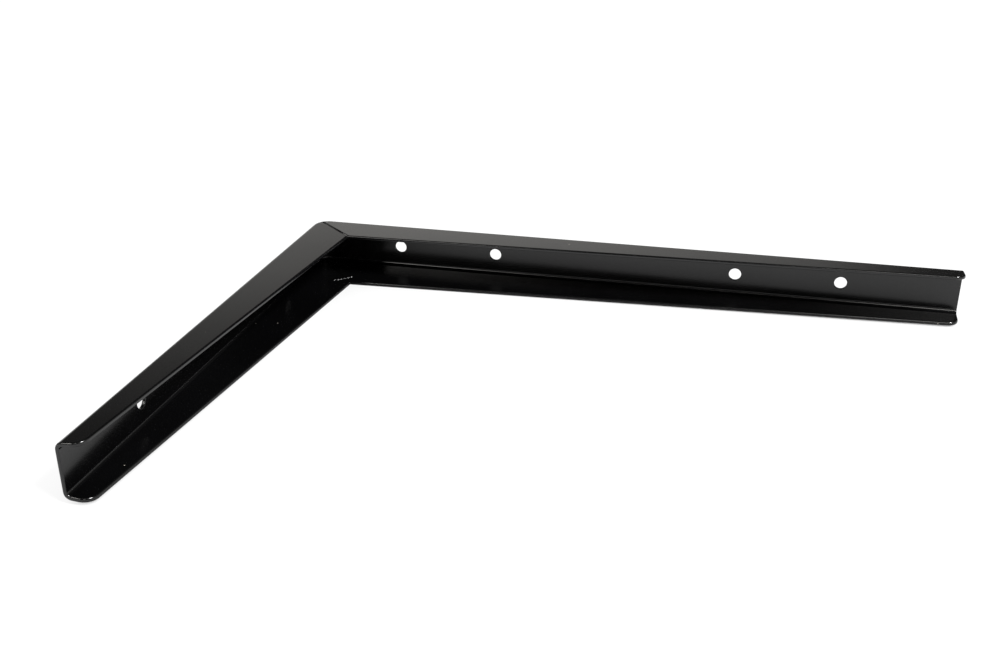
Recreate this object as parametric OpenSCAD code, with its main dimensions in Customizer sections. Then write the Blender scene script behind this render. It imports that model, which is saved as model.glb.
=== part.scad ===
// Shelf bracket: one sheet of steel folded into a channel and bent at the corner.
// The backs of the two arms are the faces that meet the wall and the shelf. The two
// flanges stand on the inside of the angle, are cut on the mitre at the corner, and
// taper to the tips. It lies on the edges of its lower flange, +Z across the channel.

/* [Arms] */
// Length of the long arm from the outer corner, mm
arm_long = 305; // [180:1:500]
// Length of the short arm from the outer corner, mm
arm_short = 229; // [140:1:500]
// Width of the back of the channel, over both flanges, mm
back_width = 21.6; // [14:0.1:40]
// Thickness of the sheet, mm
sheet = 1.6; // [0.8:0.1:2.5]

/* [Folds] */
// Inside radius where the flanges fold off the back, mm
fold_radius = 1.6; // [0.8:0.1:3]
// Angle that each flange stands open beyond square, degrees
flange_splay = 4; // [0:0.5:10]
// Inside radius of the bend at the corner of the bracket, mm
corner_radius = 6.4; // [4:0.1:12]

/* [Flanges] */
// Depth of the flanges at the mitre, from the outside of the back, mm
depth_corner = 25; // [18:0.5:35]
// Depth of the flanges at the tip of the long arm, mm
depth_long_tip = 12.6; // [9:0.1:18]
// Depth of the flanges at the tip of the short arm, mm
depth_short_tip = 10.1; // [8:0.1:18]
// Radius of the corner at each flange's tip, mm
tip_radius = 5; // [1:0.1:6]
// Gap left between the mitred edges, mm
mitre_gap = 0.2; // [0.1:0.1:1]

/* [Screw holes] */
// Diameter of the screw holes, mm
hole_diameter = 5.6; // [3.5:0.1:8]
// Outer corner to the first hole on each arm, mm
corner_to_hole = 43.6; // [32:0.1:60]
// Spacing of the two holes near the corner on the long arm, mm
pair_near_corner = 48.1; // [20:0.1:60]
// Spacing of the two holes near the tip of the long arm, mm
pair_near_tip = 47.4; // [20:0.1:60]
// Tip of the long arm to its last hole, mm
long_tip_to_hole = 51.4; // [12:0.1:60]
// Tip of the short arm to its last hole, mm
short_tip_to_hole = 50.4; // [12:0.1:60]

/* [Tack welds] */
// Length of the bead laid across each mitre, mm
bead_length = 9; // [4:0.5:12]
// How far the bead is off centre, towards the short arm, mm
bead_shift = 1.8; // [0:0.1:2]
// Distance from the bead to the inner end of the mitre, along each arm, mm
bead_from_end = 3.3; // [2:0.1:8]
// Radius of the ripples that make up the bead, mm
bead_radius = 1.2; // [0.6:0.1:1.5]

/* [Hidden] */
$fn = 96;

fold_outer = fold_radius + sheet;
corner_outer = corner_radius + sheet;
rise = tan(flange_splay);
// Height of a fold's centre above the line where the sheet's outer faces would cross
fold_centre = fold_outer / cos(flange_splay) - rise * fold_outer;
// How far the flanges' deepest point drops below that line
foot_drop = rise * depth_corner;
// Height of a flange's inner face above that line, at the back
inner_face = sheet / cos(flange_splay);
past = 1;
bead_ripples = 6;
bead_sink = 0.3 * bead_radius;
// How far a ripple goes down into the sheet
bead_root = 0.55 * sheet;

long_holes = [
    corner_to_hole,
    corner_to_hole + pair_near_corner,
    arm_long - long_tip_to_hole - pair_near_tip,
    arm_long - long_tip_to_hole
];
short_holes = [corner_to_hole, arm_short - short_tip_to_hole];

// Lower half of the channel's section: x is the depth from the back, y the height
module half_section(depth) {
    reach = (depth - fold_outer) / cos(flange_splay) + past;
    translate([0, fold_centre]) square([sheet, back_width / 2 - fold_centre]);
    translate([fold_outer, fold_centre]) {
        // The fold is cut off square to the flange at one end and to the back at the other
        intersection() {
            rotate(-flange_splay) intersection() {
                difference() {
                    circle(fold_outer);
                    circle(fold_radius);
                }
                translate([-2 * fold_outer, -2 * fold_outer]) square([2 * fold_outer, 4 * fold_outer]);
            }
            translate([-2 * fold_outer, -2 * fold_outer]) square(2 * fold_outer);
        }
        rotate(-flange_splay) translate([0, -fold_outer]) square([reach, sheet]);
    }
}

module channel_section(depth) {
    half_section(depth);
    translate([0, back_width]) mirror([0, 1]) half_section(depth);
}

// What the flanges keep of an arm, seen square to them: mitre, taper and rounded tip
module arm_outline(length, tip_depth) {
    slope = (depth_corner - tip_depth) / (length - depth_corner);
    difference() {
        polygon([
            [corner_outer, -past],
            [length, -past],
            [length, tip_depth],
            [depth_corner, depth_corner],
            [corner_outer, corner_outer]
        ]);
        tip_cut(length, tip_depth, atan(slope));
    }
}

// The waste outside the rounded corner of a tip
module tip_cut(length, tip_depth, taper) {
    // Centre of the round, tip_radius inside both the end and the tapered edge
    centre_depth = tip_depth + tip_radius * tan(taper) - tip_radius / cos(taper);
    difference() {
        polygon([
            [length + past, centre_depth],
            [length - tip_radius, centre_depth],
            [length - tip_radius, centre_depth + tip_radius],
            [length - tip_radius * (1 - sin(taper)), centre_depth + tip_radius * cos(taper)],
            [length - tip_radius * (1 - sin(taper)), tip_depth + 2 * tip_radius],
            [length + past, tip_depth + 2 * tip_radius]
        ]);
        translate([length - tip_radius, centre_depth]) circle(tip_radius);
    }
}

// An arm along +X with its back on y = 0, from the bend at the corner to the tip
module arm(length, tip_depth, holes) {
    difference() {
        intersection() {
            rotate([90, 0, 90]) linear_extrude(length)
                mirror([1, 0]) channel_section(depth_corner);
            translate([0, 0, -foot_drop - past])
                linear_extrude(back_width + 2 * (foot_drop + past))
                    mirror([0, 1]) arm_outline(length, tip_depth);
        }
        for (x = holes)
            translate([x, past, back_width / 2]) rotate([90, 0, 0])
                cylinder(d = hole_diameter, h = sheet + 2 * past);
    }
}

// The channel carried round the bend, as far as the folds and the roots of the flanges
module corner_bend() {
    translate([corner_outer, -corner_outer, 0]) rotate(90)
        rotate_extrude(angle = 90) intersection() {
            translate([corner_outer, 0]) mirror([1, 0]) channel_section(depth_corner);
            translate([0, -foot_drop - past])
                square([corner_outer, back_width + 2 * (foot_drop + past)]);
        }
}

// The slot between the mitred edges, from the end of the fold round the bend inwards
module mitre_slot() {
    slot_start = corner_outer * sqrt(2) - (corner_outer - fold_outer);
    slot_height = foot_drop + past + fold_centre;
    for (z = [-foot_drop - past, back_width - fold_centre])
        rotate(-45) translate([slot_start, -mitre_gap / 2, z])
            cube([depth_corner * sqrt(2), mitre_gap, slot_height]);
}

// A tack weld across the mitre, laid on the inner face of the lower flange. It runs
// square to the mitre, as a row of ripples sunk a little into the sheet.
module tack_weld() {
    along = depth_corner - bead_from_end;
    for (i = [0:bead_ripples - 1]) {
        side = (bead_length * (i / (bead_ripples - 1) - 0.5) - bead_shift) / sqrt(2);
        depth = along - abs(side);
        translate([along + side, -along + side, inner_face - rise * depth - bead_sink])
            intersection() {
                sphere(bead_radius);
                translate([-bead_radius, -bead_radius, bead_sink - bead_root])
                    cube([2 * bead_radius, 2 * bead_radius, bead_radius + bead_root]);
            }
    }
}

module bracket() {
    color([0.07, 0.07, 0.075]) translate([-arm_long / 2, arm_short / 2, foot_drop]) {
        difference() {
            union() {
                arm(arm_long, depth_long_tip, long_holes);
                mirror([1, 1, 0]) arm(arm_short, depth_short_tip, short_holes);
                corner_bend();
            }
            mitre_slot();
        }
        tack_weld();
        translate([0, 0, back_width]) mirror([0, 0, 1]) tack_weld();
    }
}

bracket();
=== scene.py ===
# %% [markdown]
# # A folded steel shelf bracket
#
# The bracket is one sheet of steel. It was cut and punched flat, folded into a
# channel, bent once round the corner, tacked where its mitred flanges meet, and then
# painted black and baked. Its solid comes ready made, so what is left for this lesson
# is what the eye adds: the soft edges of cut sheet, the skin of the paint, the room
# that the paint shows, and a white table for the bracket to lie on.

# %% Load the solid and measure it
import math

import bpy
from mathutils import Matrix, Vector


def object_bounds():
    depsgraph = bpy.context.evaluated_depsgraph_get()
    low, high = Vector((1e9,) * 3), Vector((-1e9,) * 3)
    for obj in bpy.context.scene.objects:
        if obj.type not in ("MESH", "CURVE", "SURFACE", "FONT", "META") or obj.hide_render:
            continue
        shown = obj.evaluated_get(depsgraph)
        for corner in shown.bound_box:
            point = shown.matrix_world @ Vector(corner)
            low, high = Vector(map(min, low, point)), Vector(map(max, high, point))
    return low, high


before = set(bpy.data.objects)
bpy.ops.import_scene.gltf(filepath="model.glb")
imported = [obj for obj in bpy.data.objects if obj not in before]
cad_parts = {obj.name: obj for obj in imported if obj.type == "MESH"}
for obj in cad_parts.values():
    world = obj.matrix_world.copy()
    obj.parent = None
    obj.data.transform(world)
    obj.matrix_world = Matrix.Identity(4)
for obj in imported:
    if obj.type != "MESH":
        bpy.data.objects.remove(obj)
solid_low, solid_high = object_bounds()
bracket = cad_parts["bracket"]
MM = 0.001
print("overall size, mm:", [round(v / MM, 1) for v in solid_high - solid_low])

# %% [markdown]
# ## Colour and node helpers
#
# Colours are picked as sRGB hex values, because that is what paint charts and pickers
# give. The shader works in linear light, so one function converts them. A second
# small function adds a shader node, sets its values and plugs in its inputs, which
# keeps each material readable as a list of steps. A function for every kind of node
# would hide what the nodes are.

# %% Hex colours to linear light
def paint_chip(code):
    """The linear RGBA of an sRGB hex colour such as '#16171a'."""
    channels = [int(code[i:i + 2], 16) / 255 for i in (1, 3, 5)]
    linear = [c / 12.92 if c <= 0.04045 else ((c + 0.055) / 1.055) ** 2.4 for c in channels]
    return (*linear, 1.0)


print("mid grey in linear light:", round(paint_chip("#808080")[0], 3))


# %% One function that adds a node
def add(tree, kind, inputs=None, **settings):
    """A node of that kind. inputs holds values, or the sockets that feed it."""
    node = tree.nodes.new(kind)
    for name, value in settings.items():
        setattr(node, name, value)
    for key, value in (inputs or {}).items():
        if isinstance(value, bpy.types.NodeSocket):
            tree.links.new(value, node.inputs[key])
        else:
            node.inputs[key].default_value = value
    return node


def blank_material(name):
    """A new material, and its node tree with nothing in it."""
    material = bpy.data.materials.new(name)
    material.use_nodes = True
    material.node_tree.nodes.clear()
    return material, material.node_tree


# A Mix node has several sockets called A and B, so its colour ones go by number.
FACTOR, FIRST_COLOUR, SECOND_COLOUR, MIXED_COLOUR = 0, 6, 7, 2

# %% [markdown]
# ## The camera
#
# The bracket is seen from a little above the table and from the open side of the
# channel. A 41 mm lens on a full frame is close to natural sight, and half a metre
# away it still spreads the two arms a little. The camera could be aimed with a Track
# To constraint. It is placed with a matrix instead, because its three directions
# are known and nothing else can then turn it.

# %% Place the camera
EYE = Vector((60.551, -390.193, 206.143)) * MM
RIGHT = Vector((0.973223, 0.229862, -0.001003))
UP = Vector((-0.094365, 0.403508, 0.910097))
BACK = Vector((0.209601, -0.885632, 0.414394))
LENS_MM = 40.84
FULL_FRAME_MM = 36.0
NEAREST, FARTHEST = 10 * MM, 50.0

camera_data = bpy.data.cameras.new("camera")
camera_data.lens = LENS_MM
camera_data.sensor_width = FULL_FRAME_MM
camera_data.clip_start, camera_data.clip_end = NEAREST, FARTHEST
camera = bpy.data.objects.new("camera", camera_data)
camera.matrix_world = Matrix.Translation(EYE) @ Matrix((RIGHT, UP, BACK)).transposed().to_4x4()
bpy.context.scene.collection.objects.link(camera)
bpy.context.scene.camera = camera
bpy.context.scene.view_settings.view_transform = "Standard"
print("camera height, mm:", round(EYE.z / MM), "lens, mm:", LENS_MM)

# %% [markdown]
# ## Cut edges that catch the light
#
# A punch leaves the two sides of a sheet unlike each other. On the side that it comes
# from, it drags the skin over before it cuts, so that edge is rounded by nearly half
# of the sheet. On the far side the metal breaks away, and only the tumbling and the
# paint take the edge off. Here the rounded side is the outside of the channel, and it
# draws a thin dark line round every flange, end and hole. A bump could fake the line,
# but not the outline, and a plain Bevel would round both sides alike. So a small node
# group first marks every sharp corner with the width that it gets. An edge's side is
# found by comparing its faces' normals with the direction away from a line drawn
# through the middle of the channel.
#
# The solid arrives with its faces loose at every corner and cut into long thin
# triangles. A bevel slides its new corners along the edges that it meets, and along
# a thin triangle they slide so far that it folds over, and a dark streak shows on a
# face that should be flat. So the corners are welded and the flat faces are joined.
# A face with holes keeps a few cuts that lead to them, and splitting and joining it
# once more lets those cuts leave the holes squarely. The bevel then keeps its width
# instead of sliding.

# %% Join the faces of the solid
SAME_POINT = 0.001 * MM
FLAT = math.radians(0.05)


def join_flat_faces(name):
    flats = bracket.modifiers.new(name, "DECIMATE")
    flats.decimate_type = "DISSOLVE"
    flats.angle_limit = FLAT


bracket.modifiers.new("join corners", "WELD").merge_threshold = SAME_POINT
join_flat_faces("join flat faces")
bracket.modifiers.new("split them again", "TRIANGULATE").ngon_method = "CLIP"
join_flat_faces("join them again")
joined = bracket.evaluated_get(bpy.context.evaluated_depsgraph_get()).to_mesh()
print("faces:", len(bracket.data.polygons), "joined to", len(joined.polygons))

# %% Which way is out of the channel
HOLLOW = 8 * MM            # from the backs of the arms to the middle of the channel

marks = bpy.data.node_groups.new("mark punched edges", "GeometryNodeTree")
marks.interface.new_socket("Geometry", in_out="INPUT", socket_type="NodeSocketGeometry")
marks.interface.new_socket("Geometry", in_out="OUTPUT", socket_type="NodeSocketGeometry")
sheet = add(marks, "NodeGroupInput").outputs[0]
middle = Vector((solid_low.x + HOLLOW, solid_high.y - HOLLOW, (solid_low.z + solid_high.z) / 2))
spot = add(marks, "GeometryNodeInputPosition").outputs[0]
away = add(marks, "ShaderNodeVectorMath", {0: spot, 1: middle}, operation="SUBTRACT")
parts = add(marks, "ShaderNodeSeparateXYZ", {0: away.outputs[0]})
back_x = add(marks, "ShaderNodeMath", {0: parts.outputs[0], 1: 0.0}, operation="MINIMUM")
back_y = add(marks, "ShaderNodeMath", {0: parts.outputs[1], 1: 0.0}, operation="MAXIMUM")
outward = add(marks, "ShaderNodeCombineXYZ", {0: back_x.outputs[0], 1: back_y.outputs[0], 2: HOLLOW})
unit = add(marks, "ShaderNodeVectorMath", {0: outward.outputs[0]}, operation="NORMALIZE")
print("middle of the channel, mm:", [round(v / MM, 1) for v in middle])

# %% Mark the edges that the punch rounded
SHARP_CORNER = math.radians(60)
TORN, ROLLED = 0.1, 0.33   # an outer face scores up to 1, a cut face 0, an inner face -1
TORN_SHARE = 0.5           # how round a torn edge is, as a share of the rolled one

normal = add(marks, "GeometryNodeInputNormal").outputs[0]
side = add(marks, "ShaderNodeVectorMath", {0: normal, 1: unit.outputs[0]}, operation="DOT_PRODUCT")
side_of_face = add(marks, "GeometryNodeFieldOnDomain", {0: side.outputs["Value"]}, domain="FACE")
corner_angle = add(marks, "GeometryNodeInputMeshEdgeAngle").outputs["Signed Angle"]
is_sharp = add(marks, "ShaderNodeMath", {0: corner_angle, 1: SHARP_CORNER}, operation="GREATER_THAN")
side_of_edge = add(marks, "GeometryNodeFieldOnDomain", {0: side_of_face.outputs[0]}, domain="EDGE")
width = add(marks, "ShaderNodeMapRange",
            {"Value": side_of_edge.outputs[0], "From Min": TORN, "From Max": ROLLED,
             "To Min": TORN_SHARE, "To Max": 1.0})
punched = add(marks, "ShaderNodeMath", {0: is_sharp.outputs[0], 1: width.outputs[0]},
              operation="MULTIPLY")
marked = add(marks, "GeometryNodeStoreNamedAttribute",
             {"Geometry": sheet, "Name": "bevel_weight_edge", "Value": punched.outputs[0]},
             data_type="FLOAT", domain="EDGE")
add(marks, "NodeGroupOutput", {0: marked.outputs[0]})
bracket.modifiers.new("mark punched edges", "NODES").node_group = marks
print("marking nodes:", len(marks.nodes))

# %% Round the marked edges
PUNCH_ROLL = 0.7 * MM
ROLL_STEPS = 4
LARGE_FACES_RULE = 100     # the most that Weighted Normal lets large faces decide

roll = bracket.modifiers.new("rolled edge", "BEVEL")
roll.width = PUNCH_ROLL
roll.segments = ROLL_STEPS
roll.limit_method = "WEIGHT"
roll.use_clamp_overlap = False
roll.loop_slide = False
shading = bracket.modifiers.new("flat faces shade flat", "WEIGHTED_NORMAL")
shading.weight = LARGE_FACES_RULE
shading.keep_sharp = False

rounded = bracket.evaluated_get(bpy.context.evaluated_depsgraph_get()).to_mesh()
print("triangles:", sum(len(p.vertices) - 2 for p in rounded.polygons))

# %% [markdown]
# ## Baked black enamel
#
# The finish is a baked enamel: a black alkyd paint, sprayed on and stoved. It is a
# dielectric, with the index of a resin, so what shows is less its own colour, which
# is nearly no colour at all, than a soft reflection of the room. Sprayed paint never
# lies quite flat. It dries with an orange peel about a millimetre across, which
# breaks reflections up, and in clouds that are a little thinner and greyer. Two noises
# at two scales make the skin. A few specks of dust have stuck to it, too, and black
# shows every one. They are the nearest points of a Voronoi texture: it fills all of
# space, and only the few points that lie in the surface show. A picture of paint would
# be simpler, and would blur when the eye comes close.

# %% Enamel: spray clouds in its colour and gloss
ENAMEL_BLACK = "#020202"
ENAMEL_THIN = "#070708"
ENAMEL_ROUGHNESS = (0.16, 0.2)
CLOUD_MM, CLOUD_DETAIL = 34.0, 3.0
CLOUD_RANGE = (0.3, 0.7)   # a noise hardly ever leaves this part of 0 to 1

enamel, tree = blank_material("baked black enamel")
place = add(tree, "ShaderNodeTexCoord").outputs["Object"]
cloud = add(tree, "ShaderNodeTexNoise",
            {"Vector": place, "Scale": 1000 / CLOUD_MM, "Detail": CLOUD_DETAIL})
colour = add(tree, "ShaderNodeMix",
             {FACTOR: cloud.outputs["Fac"], FIRST_COLOUR: paint_chip(ENAMEL_BLACK),
              SECOND_COLOUR: paint_chip(ENAMEL_THIN)}, data_type="RGBA")
gloss = add(tree, "ShaderNodeMapRange",
            {"Value": cloud.outputs["Fac"], "From Min": CLOUD_RANGE[0], "From Max": CLOUD_RANGE[1],
             "To Min": ENAMEL_ROUGHNESS[0], "To Max": ENAMEL_ROUGHNESS[1]})
print("clouds along the long arm:", round((solid_high.x - solid_low.x) / MM / CLOUD_MM))

# %% Enamel: specks of dust
DUST_SPACING_MM = 13.0     # from point to point through space
DUST_EDGE_MM = 0.3         # a speck's radius
DUST_FULL_MM = 0.16        # the radius within which it hides the paint
DUST_GREY = "#a09a90"
DUST_ROUGHNESS = 0.8

point = add(tree, "ShaderNodeTexVoronoi", {"Vector": place, "Scale": 1000 / DUST_SPACING_MM})
dust = add(tree, "ShaderNodeMapRange",
           {"Value": point.outputs["Distance"], "From Min": DUST_EDGE_MM / DUST_SPACING_MM,
            "From Max": DUST_FULL_MM / DUST_SPACING_MM})
dusty = add(tree, "ShaderNodeMix",
            {FACTOR: dust.outputs["Result"], FIRST_COLOUR: colour.outputs[MIXED_COLOUR],
             SECOND_COLOUR: paint_chip(DUST_GREY)}, data_type="RGBA")
matt = add(tree, "ShaderNodeMapRange",
           {"Value": dust.outputs["Result"], "To Min": gloss.outputs["Result"],
            "To Max": DUST_ROUGHNESS})
print("speck, mm across:", 2 * DUST_EDGE_MM)

# %% Enamel: orange peel, and the shader
ENAMEL_INDEX = 1.5
ORANGE_PEEL_MM, PEEL_DETAIL = 1.1, 2.0
PEEL_HEIGHT = 0.002 * MM

peel = add(tree, "ShaderNodeTexNoise",
           {"Vector": place, "Scale": 1000 / ORANGE_PEEL_MM, "Detail": PEEL_DETAIL})
skin = add(tree, "ShaderNodeBump",
           {"Height": peel.outputs["Fac"], "Distance": PEEL_HEIGHT, "Strength": 1.0})
paint = add(tree, "ShaderNodeBsdfPrincipled",
            {"Base Color": dusty.outputs[MIXED_COLOUR], "Roughness": matt.outputs["Result"],
             "IOR": ENAMEL_INDEX, "Normal": skin.outputs["Normal"]})
add(tree, "ShaderNodeOutputMaterial", {"Surface": paint.outputs["BSDF"]})
bracket.data.materials.clear()
bracket.data.materials.append(enamel)
print("peel cells per metre:", round(1000 / ORANGE_PEEL_MM))

# %% [markdown]
# ## The table
#
# The table is a sheet of white paper, big enough to fill the view. White that comes
# from more lamps would wash out the paint as well, so the paper shows most of its
# white to the camera and to reflections by itself. That white would also glow in the
# shade of the bracket, so it is turned down by how much the bracket covers the paper,
# which the Ambient Occlusion node measures. The rest of the shadow is real.

# %% Lay the paper
PAPER_SIDE = 8.0

corner = PAPER_SIDE / 2
paper_mesh = bpy.data.meshes.new("paper")
paper_mesh.from_pydata(
    [(-corner, -corner, 0), (corner, -corner, 0), (corner, corner, 0), (-corner, corner, 0)],
    [], [(0, 1, 2, 3)])
paper = bpy.data.objects.new("paper", paper_mesh)
bpy.context.scene.collection.objects.link(paper)
paper.location.z = solid_low.z
print("paper lies at height, mm:", round(paper.location.z / MM, 3))

# %% Paper: how white it is, and its shade
PAPER_WHITE = "#ffffff"
PAPER_TO_EYE = 1.07        # makes up for the share that lamps light
PAPER_IN_PAINT = 1.12
SHADE_REACH = 70 * MM
SHADE_TO_EYE = 0.15        # powers of the open sky: a high one gives a deep shade
SHADE_IN_PAINT = 1.7
SHADE_SAMPLES = 8

white_paper, tree = blank_material("white paper")
paper_rays = add(tree, "ShaderNodeLightPath")
open_sky = add(tree, "ShaderNodeAmbientOcclusion", {"Distance": SHADE_REACH}, samples=SHADE_SAMPLES)
brightness = add(tree, "ShaderNodeMapRange",
                 {"Value": paper_rays.outputs["Is Glossy Ray"],
                  "To Min": PAPER_TO_EYE, "To Max": PAPER_IN_PAINT})
depth_of_shade = add(tree, "ShaderNodeMapRange",
                     {"Value": paper_rays.outputs["Is Glossy Ray"],
                      "To Min": SHADE_TO_EYE, "To Max": SHADE_IN_PAINT})
shaded = add(tree, "ShaderNodeMath",
             {0: open_sky.outputs["AO"], 1: depth_of_shade.outputs[0]}, operation="POWER")
own_light = add(tree, "ShaderNodeMath", {0: shaded.outputs[0], 1: brightness.outputs[0]},
                operation="MULTIPLY")
print("shade reaches, mm:", round(SHADE_REACH / MM))

# %% Paper: its own light and the lamps'
OWN_WHITE = 0.9            # the share of the white that the paper gives by itself

looked_at = add(tree, "ShaderNodeMath",
                {0: paper_rays.outputs["Is Camera Ray"], 1: paper_rays.outputs["Is Glossy Ray"]},
                operation="MAXIMUM")
share = add(tree, "ShaderNodeMath", {0: looked_at.outputs[0], 1: OWN_WHITE}, operation="MULTIPLY")
lit = add(tree, "ShaderNodeBsdfDiffuse", {"Color": paint_chip(PAPER_WHITE)})
own = add(tree, "ShaderNodeEmission",
          {"Color": paint_chip(PAPER_WHITE), "Strength": own_light.outputs[0]})
mixed = add(tree, "ShaderNodeMixShader", {0: share.outputs[0], 1: lit.outputs[0], 2: own.outputs[0]})
add(tree, "ShaderNodeOutputMaterial", {"Surface": mixed.outputs[0]})
paper_mesh.materials.append(white_paper)
print("share of white from lamps:", round(1 - OWN_WHITE, 2))

# %% [markdown]
# ## The room that the paint shows
#
# Black paint has no colour to light. It shows the room, so the room is made as it
# would be built: dark walls, a white board behind the table, three softboxes in front,
# and a paler ceiling and side walls. They could be planes in the scene. They are
# painted on the world instead, because then each is one window in a direction, with
# soft edges, and none can cast a shadow. A direction is measured in five ways: how far
# it goes to the right or to either side, its height above the horizon, its turn from
# straight back, and its pitch, which is how far it has swung up from straight forward.

# %% The world, and measures of a direction
world = bpy.data.worlds.new("studio")
bpy.context.scene.world = world
world.use_nodes = True
room = world.node_tree
room.nodes.clear()
direction = add(room, "ShaderNodeTexCoord").outputs["Generated"]
rightwards, backwards, upwards = add(room, "ShaderNodeSeparateXYZ", {0: direction}).outputs
forwards = add(room, "ShaderNodeMath", {0: backwards, 1: -1.0}, operation="MULTIPLY").outputs[0]
sideways = add(room, "ShaderNodeMath", {0: rightwards}, operation="ABSOLUTE").outputs[0]
height = add(room, "ShaderNodeMath", {0: upwards}, operation="ARCSINE").outputs[0]
turn = add(room, "ShaderNodeMath", {0: rightwards, 1: backwards}, operation="ARCTAN2").outputs[0]
pitch = add(room, "ShaderNodeMath", {0: upwards, 1: forwards}, operation="ARCTAN2").outputs[0]
print("nodes that measure a direction:", len(room.nodes))


# %% A soft-edged window in the room
def window(light, strength, *edges):
    """The light so far, plus strength where all the edges are open.

    An edge is a measure, its value where the edge is dark, and its value where it is full.
    """
    inside = 1.0
    for measure, dark, full in edges:
        edge = add(room, "ShaderNodeMapRange", {"Value": measure, "From Min": dark, "From Max": full},
                   interpolation_type="SMOOTHSTEP")
        inside = add(room, "ShaderNodeMath", {0: inside, 1: edge.outputs[0]},
                     operation="MULTIPLY").outputs[0]
    both = add(room, "ShaderNodeMath", {0: inside, 1: strength, 2: light}, operation="MULTIPLY_ADD")
    return both.outputs[0]


def degrees(dark, full):
    return math.radians(dark), math.radians(full)


# %% The board behind the table
ROOM_SEEN = 0.04           # how light the dark walls look in the paint
BOARD_SEEN = 0.56          # added to the walls' own
BOARD_TOP = degrees(25, 13)  # dark 25 degrees up from the horizon, and full at 13
BOARD_LEFT = degrees(-46, -25)
BOARD_RIGHT = degrees(9.5, 2.5)
BOARD_FALL = degrees(24, -18)  # its light falls off slowly to the right

seen = window(ROOM_SEEN, BOARD_SEEN, (height, *BOARD_TOP), (turn, *BOARD_LEFT),
              (turn, *BOARD_RIGHT), (turn, *BOARD_FALL))
print("board, degrees wide:", round(math.degrees(BOARD_RIGHT[0] - BOARD_LEFT[0]), 1))

# %% Three softboxes in front
SOFTBOX_SEEN = 7.2         # a lit softbox is far brighter than a white board
SOFTBOX_BOTTOM = degrees(28, 32)
LOW_TOP, HIGH_TOP = degrees(52, 46), degrees(77, 71)
SOFTBOXES = (              # top, right edge and left edge
    (LOW_TOP, (-0.2, -0.27), (-0.42, -0.36)),
    (HIGH_TOP, (-0.4, -0.46), (-0.64, -0.58)),
    (LOW_TOP, (0.3, 0.24), (0.09, 0.16)))

for top, right_edge, left_edge in SOFTBOXES:
    seen = window(seen, SOFTBOX_SEEN, (pitch, *SOFTBOX_BOTTOM), (pitch, *top),
                  (rightwards, *right_edge), (rightwards, *left_edge))
print("softboxes:", len(SOFTBOXES))

# %% The ceiling and the side walls
CEILING_SEEN = 0.14
CEILING_EDGE = degrees(58, 75)
SIDE_SEEN = 0.4
SIDE_EDGE = (0.62, 0.72)   # how far to the side the walls start
SIDE_TOP = degrees(50, 20)

seen = window(seen, CEILING_SEEN, (height, *CEILING_EDGE))
seen = window(seen, SIDE_SEEN, (sideways, *SIDE_EDGE), (height, *SIDE_TOP))
print("ceiling and sides as seen:", [round(ROOM_SEEN + v, 2) for v in (CEILING_SEEN, SIDE_SEEN)])

# %% [markdown]
# ## What each kind of ray sees
#
# One world has three jobs. The camera is to see plain white behind the table. Matt
# surfaces need an even, dim light, because the lamp does the rest. Only reflections
# are to show the room. The Light Path node tells which kind of ray has arrived, and
# two Mix Shaders choose by it.

# %% Sort the rays
ROOM_LIGHT = 0.35          # what the room gives to matt surfaces
BOARD_WHITE = "#fffdf9"    # card is a little warmer than paper

rays = add(room, "ShaderNodeLightPath")
mirrored = add(room, "ShaderNodeBackground", {"Color": paint_chip(BOARD_WHITE), "Strength": seen})
dim = add(room, "ShaderNodeBackground", {"Color": paint_chip(PAPER_WHITE), "Strength": ROOM_LIGHT})
white = add(room, "ShaderNodeBackground", {"Color": paint_chip(PAPER_WHITE), "Strength": 1.0})
by_gloss = add(room, "ShaderNodeMixShader",
               {0: rays.outputs["Is Glossy Ray"], 1: dim.outputs[0], 2: mirrored.outputs[0]})
by_camera = add(room, "ShaderNodeMixShader",
                {0: rays.outputs["Is Camera Ray"], 1: by_gloss.outputs[0], 2: white.outputs[0]})
add(room, "ShaderNodeOutputWorld", {"Surface": by_camera.outputs[0]})
print("nodes in the room:", len(room.nodes))

# %% [markdown]
# ## One real lamp
#
# The ripples of the weld and the round corners of the tips show small bright dots, as a
# lamp makes them, and the bracket needs a shadow on the paper. A point light would give
# hard dots and a hard shadow. A square softbox, high on the right, gives both softly.
# It is hidden from the camera.

# %% The key lamp
KEY_PLACE = Vector((1.2, -0.6, 1.5))
KEY_SIDE = 0.42
KEY_WATTS = 70

key_data = bpy.data.lights.new("key softbox", "AREA")
key_data.size, key_data.energy = KEY_SIDE, KEY_WATTS
key = bpy.data.objects.new("key softbox", key_data)
key.location = KEY_PLACE
key.rotation_euler = (-KEY_PLACE).to_track_quat("-Z", "Y").to_euler()
key.visible_camera = False
bpy.context.scene.collection.objects.link(key)
print("key lamp, m from the bracket:", round(KEY_PLACE.length, 2))
